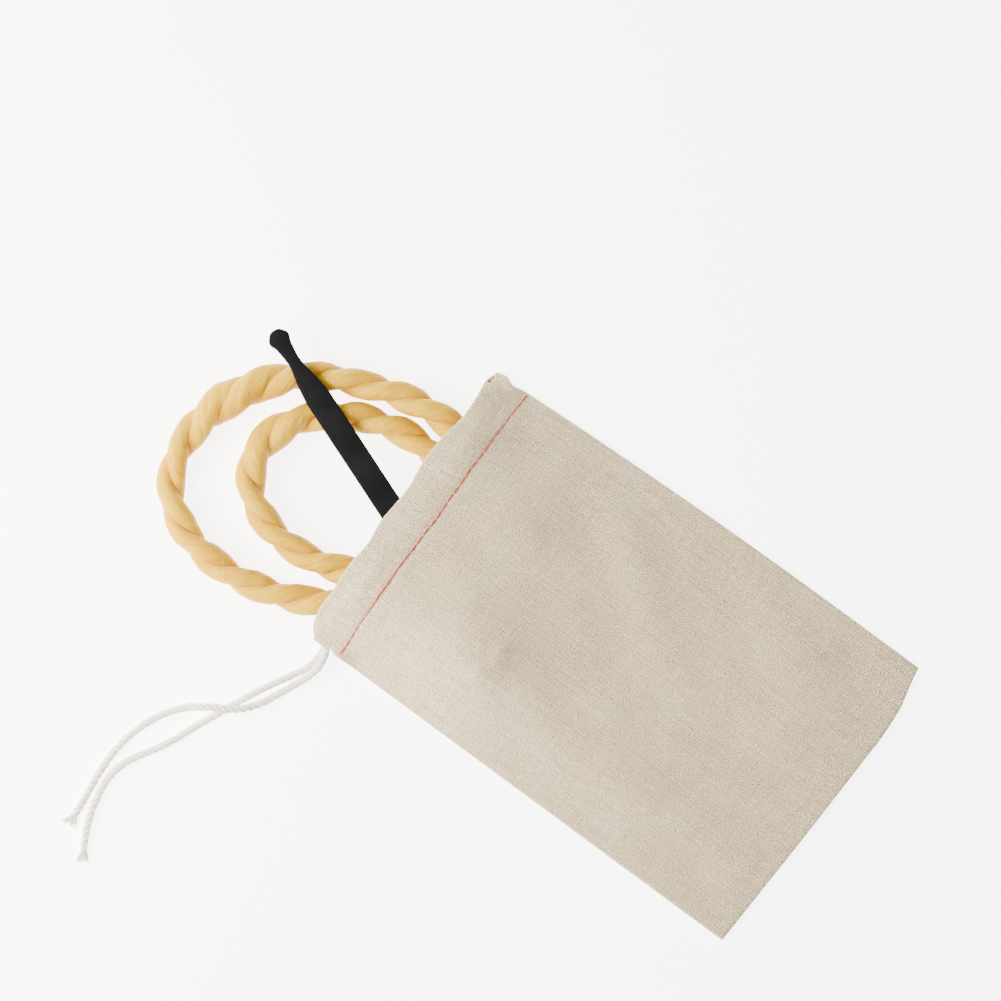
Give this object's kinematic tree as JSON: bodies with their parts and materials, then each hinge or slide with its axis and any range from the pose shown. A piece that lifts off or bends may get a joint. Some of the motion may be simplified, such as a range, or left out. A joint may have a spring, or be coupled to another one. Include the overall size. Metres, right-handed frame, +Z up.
{
  "type": "drawstring pouch with rope coil and spatula",
  "caption": "Flat cotton drawstring pouch lying on its back, with a coil of twisted waxed rope and a slim spatula sliding out of its mouth.",
  "frame": {"origin": "middle of the pouch's underside, on the surface it lies on", "axes": "+X from the closed bottom to the mouth, +Z up away from the surface"},
  "size_m": [0.2249, 0.1957, 0.0185],
  "materials": {
    "cotton_cloth": "undyed plain weave",
    "red_thread": "matte thread",
    "pale_thread": "matte thread",
    "cotton_string": "twisted cotton",
    "waxed_rope": "waxy, wrinkled",
    "black_plastic": "matte"
  },
  "bodies": {
    "pouch": {"back_panel": "cotton_cloth", "front_panel": "cotton_cloth", "front_channel_facing": "cotton_cloth", "back_channel_facing": "cotton_cloth", "side_seam_allowance": "cotton_cloth", "bottom_seam_allowance": "cotton_cloth", "front_hem_stitches": "red_thread", "back_hem_stitches": "red_thread", "side_seam_stitches": "pale_thread", "bottom_seam_stitches": "pale_thread", "drawstring_channel_run": "cotton_string", "drawstring_tail_under": "cotton_string", "drawstring_tail_over": "cotton_string"},
    "coil": {"rope_coil": "waxed_rope"},
    "spatula": {"spatula": "black_plastic"}
  },
  "joints": [
    {"name": "coil_slide", "type": "slide", "parent": "pouch", "child": "coil", "axis": [1, 0, 0], "range_m": [0, 0.05]},
    {"name": "spatula_slide", "type": "slide", "parent": "coil", "child": "spatula", "axis": [0.9342, -0.3567, 0], "range_m": [0, 0.062]}
  ]
}
